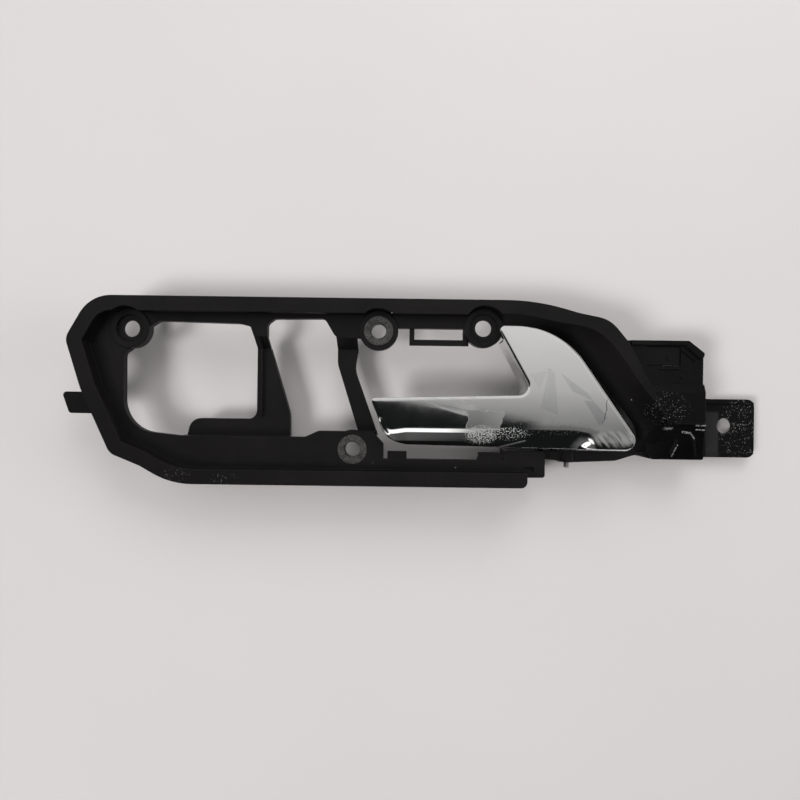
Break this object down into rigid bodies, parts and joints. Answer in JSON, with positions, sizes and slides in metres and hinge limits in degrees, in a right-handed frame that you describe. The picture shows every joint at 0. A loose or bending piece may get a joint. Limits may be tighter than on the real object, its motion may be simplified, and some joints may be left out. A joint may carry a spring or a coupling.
{
  "type": "interior car door handle",
  "caption": "Inside door release handle of a car: moulded carrier with screw bosses and fixing tab, and a sprung chromed pull lever on a hinge pin that works a cable.",
  "frame": {"origin": "centre of the bounding box in plan, on the back plane the carrier's feet stand on", "axes": "+Z out of the face towards the passenger, +X along the carrier from the tongue to the fixing tab, +Y up on the door"},
  "size_m": [0.4026, 0.1036, 0.0345],
  "materials": {
    "black_moulding": "fine satin grain",
    "plated_lever": "bright chrome plating, worn",
    "hinge_moulding": "plain moulded",
    "pin_steel": "drawn",
    "spring_steel": "drawn wire",
    "bush_steel": "zinc plated",
    "buffer_rubber": "matt"
  },
  "bodies": {
    "carrier_body": {"carrier": "black_moulding", "hinge_pin": "pin_steel", "return_spring": "spring_steel", "upper_screw_bush": "bush_steel", "lower_screw_bush": "bush_steel", "rest_buffers": "buffer_rubber", "cable_retainer": "black_moulding"},
    "lever_body": {"release_lever": "plated_lever", "lever_hinge_body": "hinge_moulding"}
  },
  "joints": [
    {"name": "lever_pull", "type": "hinge", "parent": "carrier_body", "child": "lever_body", "pos_m": [0.086, 0, 0.018], "axis": [0, 1, 0], "range_deg": [0, 30], "stiffness_Nm_per_rad": 0.3, "springref_deg": -20.05, "deforming": ["return_spring"]}
  ]
}
